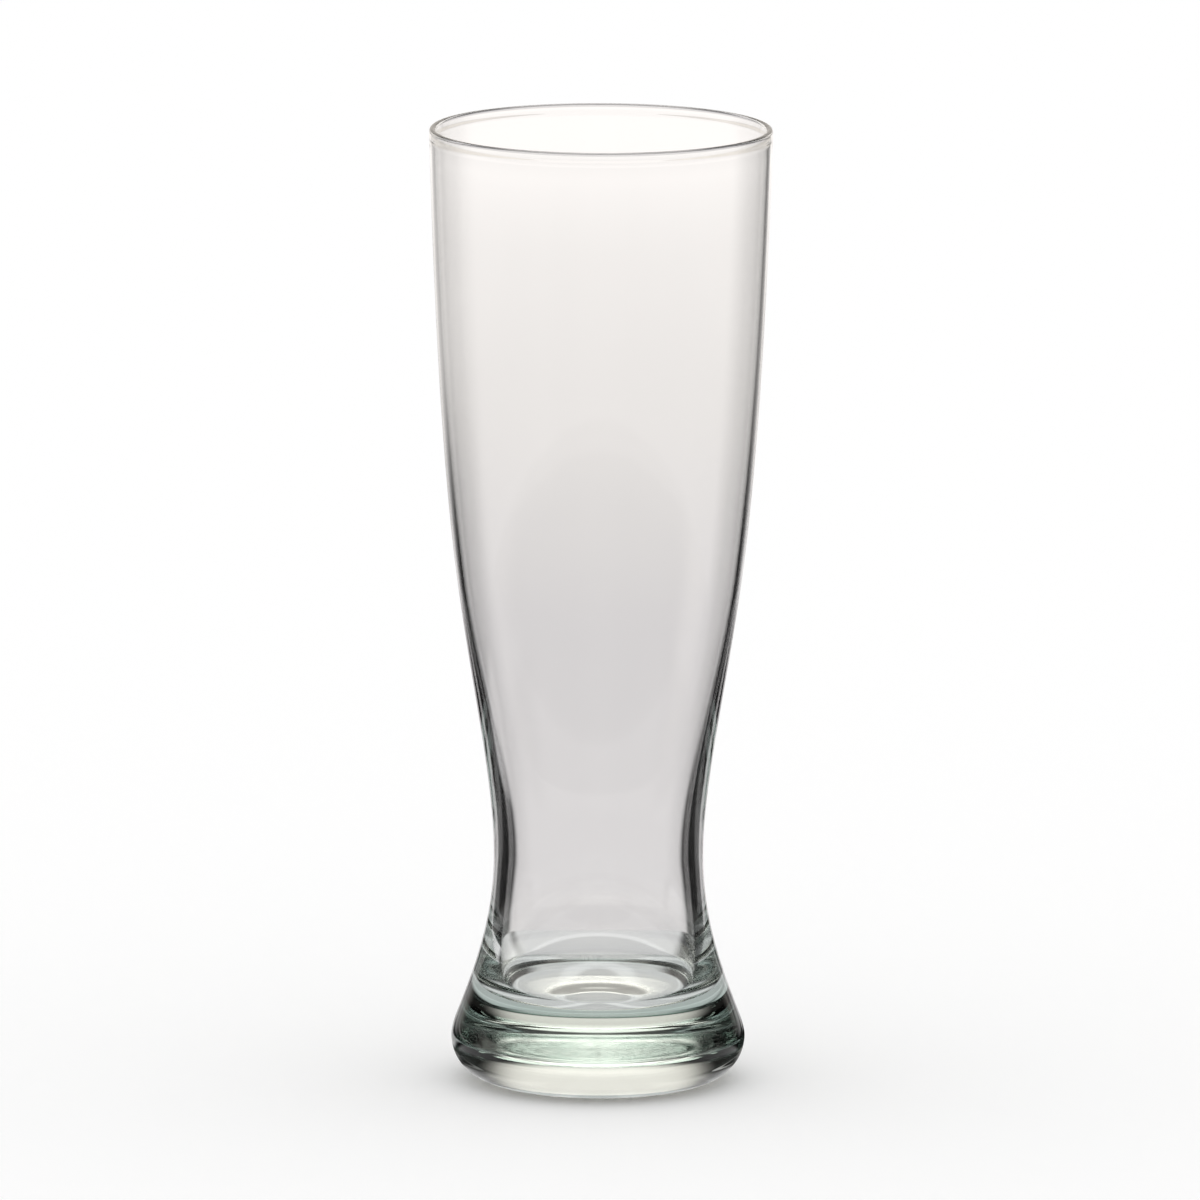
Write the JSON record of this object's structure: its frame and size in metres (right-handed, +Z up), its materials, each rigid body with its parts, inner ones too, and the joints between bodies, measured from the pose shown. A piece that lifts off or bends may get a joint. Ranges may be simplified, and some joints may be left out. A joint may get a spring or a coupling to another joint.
{
  "type": "pilsner glass",
  "caption": "Tall clear glass for beer: wide rounded rim, tapering bowl with a low waist, and a heavy flared foot that it stands on.",
  "frame": {"origin": "centre of the circle that the foot rests on", "axes": "+Z up along the glass's axis of turning, from foot to rim; the glass looks the same from every side, so +X and +Y are free"},
  "size_m": [0.08, 0.08, 0.225],
  "materials": {
    "bowl_glass": "clear, fire-polished",
    "foot_glass": "clear with a faint green depth, pressed and fire-polished"
  },
  "bodies": {
    "root": {"bowl": "bowl_glass", "foot": "foot_glass"}
  },
  "joints": []
}
